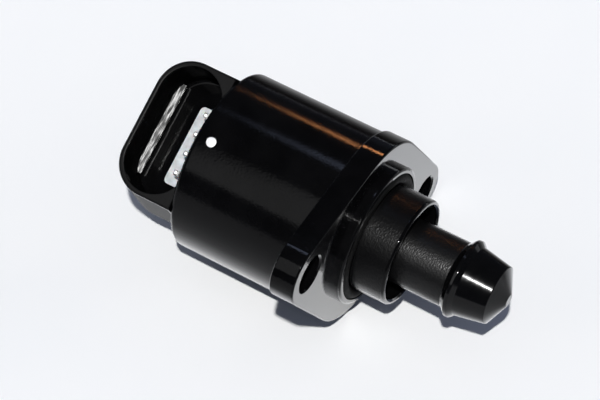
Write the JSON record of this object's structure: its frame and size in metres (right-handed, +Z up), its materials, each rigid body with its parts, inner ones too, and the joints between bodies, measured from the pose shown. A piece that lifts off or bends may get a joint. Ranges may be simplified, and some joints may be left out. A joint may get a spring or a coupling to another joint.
{
  "type": "idle air control valve",
  "caption": "Stepper-motor idle air control valve: black moulded barrel, side-opening connector, eared flange with a sealed collar and sleeve, and a plunger that slides to meter air.",
  "frame": {"origin": "centre of the flange's mounting face, on the valve axis", "axes": "+X along the valve axis towards the plunger's tip, +Z up as the valve lies on the straight lower edge of its flange, +Y level"},
  "size_m": [0.0757, 0.0534, 0.0362],
  "materials": {
    "black_plastic": "glossy",
    "plunger_plastic": "satin gloss",
    "seal_rubber": "matte",
    "carrier_plastic": "matte",
    "pin_metal": "tinned",
    "stator_steel": "zinc plated",
    "bobbin_plastic": "matte",
    "winding": "enamelled wire",
    "bush_bronze": "sintered",
    "magnet_ferrite": "ground",
    "hub_plastic": "matte",
    "nut_brass": "turned",
    "screw_steel": "rolled thread"
  },
  "bodies": {
    "valve_body": {"motor_housing": "black_plastic", "flange_cover": "black_plastic", "nose_seal": "seal_rubber", "housing_seal": "seal_rubber", "terminal_carrier": "carrier_plastic", "terminal_pin_1": "pin_metal", "terminal_pin_2": "pin_metal", "terminal_pin_3": "pin_metal", "terminal_pin_4": "pin_metal", "rear_stator_cup": "stator_steel", "rear_stator_plate": "stator_steel", "front_stator_plate": "stator_steel", "front_stator_cup": "stator_steel", "rear_bobbin": "bobbin_plastic", "front_bobbin": "bobbin_plastic", "rear_coil": "winding", "front_coil": "winding", "rear_end_plate": "stator_steel", "front_end_plate": "stator_steel", "rear_bush": "bush_bronze", "front_bush": "bush_bronze", "guide_bush": "bush_bronze"},
    "rotor": {"rotor_hub": "hub_plastic", "rotor_magnet": "magnet_ferrite", "lead_nut": "nut_brass"},
    "plunger": {"lead_screw": "screw_steel", "pintle": "plunger_plastic"}
  },
  "joints": [
    {"name": "rotor_spin", "type": "hinge", "parent": "valve_body", "child": "rotor", "pos_m": [0, 0, 0], "axis": [1, 0, 0], "range_deg": [-360, 2880]},
    {"name": "plunger_slide", "type": "slide", "parent": "valve_body", "child": "plunger", "axis": [1, 0, 0], "range_m": [-0.008, 0.001]}
  ],
  "couplings": [
    {"joint": "plunger_slide", "follows": "rotor_spin", "m_per_rad": -0.00015915}
  ]
}
